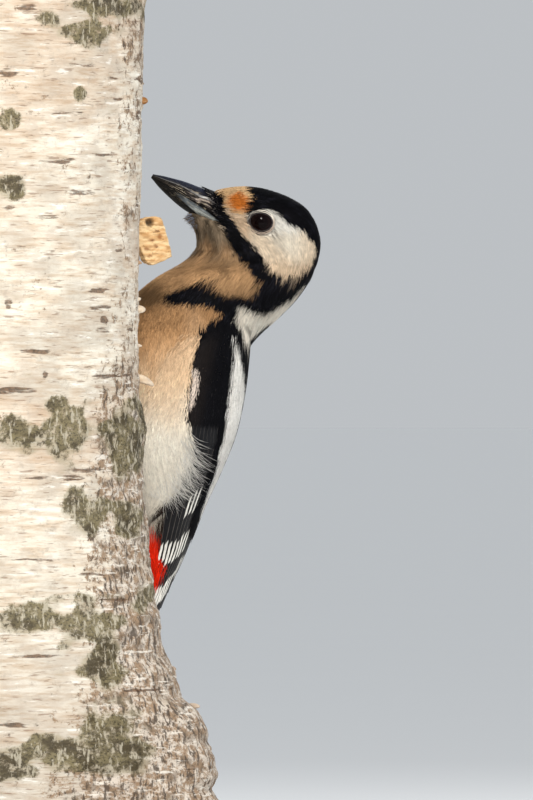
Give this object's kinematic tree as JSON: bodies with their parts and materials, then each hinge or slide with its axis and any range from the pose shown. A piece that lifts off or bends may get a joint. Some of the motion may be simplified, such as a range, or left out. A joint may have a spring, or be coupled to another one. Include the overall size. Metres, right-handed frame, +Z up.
{
  "type": "great spotted woodpecker model",
  "caption": "Life-size still model of an adult female great spotted woodpecker clinging upright to a short cut length of birch trunk, held over a flat base by rods.",
  "frame": {"origin": "centre of the underside of the round display base", "axes": "+Z up along the trunk. The picture's camera looks along +Y, with +X to its right. The bird clings on the side of the trunk that faces +X and a little +Y, with its head turned so that its bill points towards -X and up."},
  "size_m": [0.236, 0.236, 0.328],
  "materials": {
    "crown_feathers": "glossy black feathers",
    "black_feathers": "glossy black feathers with a faint blue sheen",
    "white_feathers": "matt soft white feathers",
    "buff_feathers": "matt soft feathers",
    "red_feathers": "matt soft feathers",
    "flight_feathers": "smooth vaned feathers barred with white",
    "horn": "satin horn",
    "eye": "wet gloss",
    "scaly_skin": "scaly, satin",
    "claw": "satin horn",
    "bark": "matt papery birch bark",
    "split_wood": "raw split wood",
    "stand_wood": "satin varnished hardwood",
    "stand_steel": "brushed"
  },
  "bodies": {
    "root": {"head": "crown_feathers", "neck": "buff_feathers", "torso": "buff_feathers", "vent": "red_feathers", "tail": "flight_feathers", "bill_upper": "horn", "bill_lower": "horn", "eye_left": "eye", "eye_right": "eye", "wing_left": "black_feathers", "wing_right": "black_feathers", "primaries_left": "flight_feathers", "primaries_right": "flight_feathers", "thigh_left": "buff_feathers", "thigh_right": "buff_feathers", "tarsus_left": "scaly_skin", "tarsus_right": "scaly_skin", "toe_left_inner": "scaly_skin", "toe_left_middle": "scaly_skin", "toe_left_outer": "scaly_skin", "toe_left_hind": "scaly_skin", "toe_right_inner": "scaly_skin", "toe_right_middle": "scaly_skin", "toe_right_outer": "scaly_skin", "toe_right_hind": "scaly_skin", "claw_left_inner": "claw", "claw_left_middle": "claw", "claw_left_outer": "claw", "claw_left_hind": "claw", "claw_right_inner": "claw", "claw_right_middle": "claw", "claw_right_outer": "claw", "claw_right_hind": "claw", "perch_trunk": "bark", "perch_splinter": "split_wood", "stand_base": "stand_wood", "stand_rod_1": "stand_steel", "stand_rod_2": "stand_steel"}
  },
  "joints": []
}
